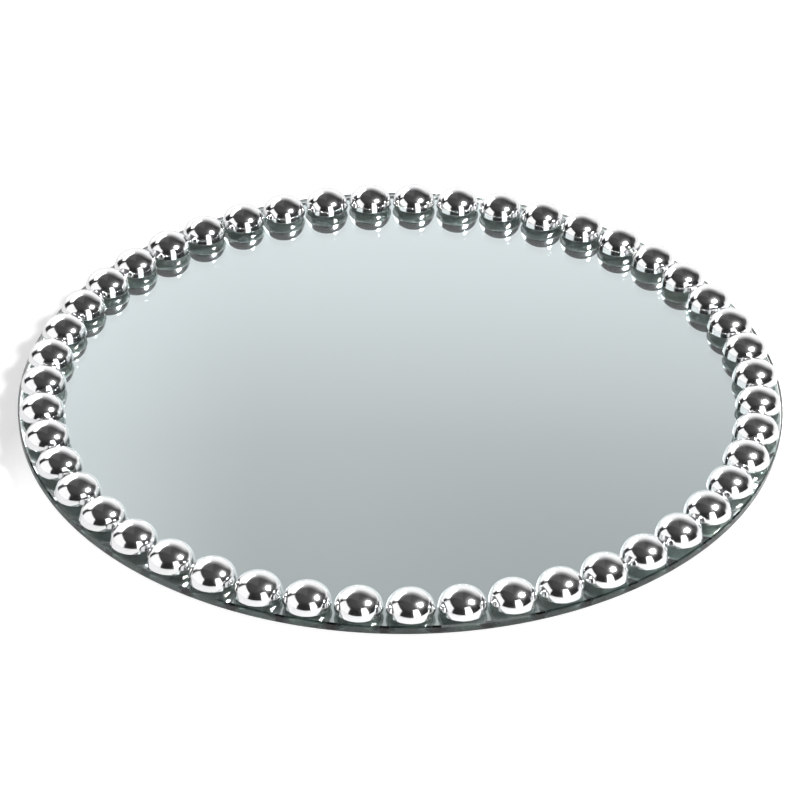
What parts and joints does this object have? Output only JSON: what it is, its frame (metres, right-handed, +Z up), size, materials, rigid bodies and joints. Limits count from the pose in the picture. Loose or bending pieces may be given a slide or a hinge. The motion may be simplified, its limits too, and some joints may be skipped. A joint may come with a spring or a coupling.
{
  "type": "mirror tray",
  "caption": "Round silvered-glass display tray with a border of polished chrome half-balls just inside its rim, standing on small bumper feet.",
  "frame": {"origin": "on the tray's axis, at the level of the soles of its feet", "axes": "+Z up along the tray's axis; -Y towards the first bead, which faces the viewer in the picture; +X to the viewer's right"},
  "size_m": [0.33, 0.33, 0.02],
  "materials": {
    "clear_glass": "polished",
    "silvering": "polished",
    "backing_paint": "matte",
    "chrome_bead": "polished",
    "bumper": "satin"
  },
  "bodies": {
    "root": {"mirror_glass": "clear_glass", "silver_coat": "silvering", "back_paint": "backing_paint", "bead_01": "chrome_bead", "bead_02": "chrome_bead", "bead_03": "chrome_bead", "bead_04": "chrome_bead", "bead_05": "chrome_bead", "bead_06": "chrome_bead", "bead_07": "chrome_bead", "bead_08": "chrome_bead", "bead_09": "chrome_bead", "bead_10": "chrome_bead", "bead_11": "chrome_bead", "bead_12": "chrome_bead", "bead_13": "chrome_bead", "bead_14": "chrome_bead", "bead_15": "chrome_bead", "bead_16": "chrome_bead", "bead_17": "chrome_bead", "bead_18": "chrome_bead", "bead_19": "chrome_bead", "bead_20": "chrome_bead", "bead_21": "chrome_bead", "bead_22": "chrome_bead", "bead_23": "chrome_bead", "bead_24": "chrome_bead", "bead_25": "chrome_bead", "bead_26": "chrome_bead", "bead_27": "chrome_bead", "bead_28": "chrome_bead", "bead_29": "chrome_bead", "bead_30": "chrome_bead", "bead_31": "chrome_bead", "bead_32": "chrome_bead", "bead_33": "chrome_bead", "bead_34": "chrome_bead", "bead_35": "chrome_bead", "bead_36": "chrome_bead", "bead_37": "chrome_bead", "bead_38": "chrome_bead", "bead_39": "chrome_bead", "bead_40": "chrome_bead", "bead_41": "chrome_bead", "bead_42": "chrome_bead", "bead_43": "chrome_bead", "bead_44": "chrome_bead", "bead_45": "chrome_bead", "bead_46": "chrome_bead", "bead_47": "chrome_bead", "foot_1": "bumper", "foot_2": "bumper", "foot_3": "bumper", "foot_4": "bumper"}
  },
  "joints": []
}
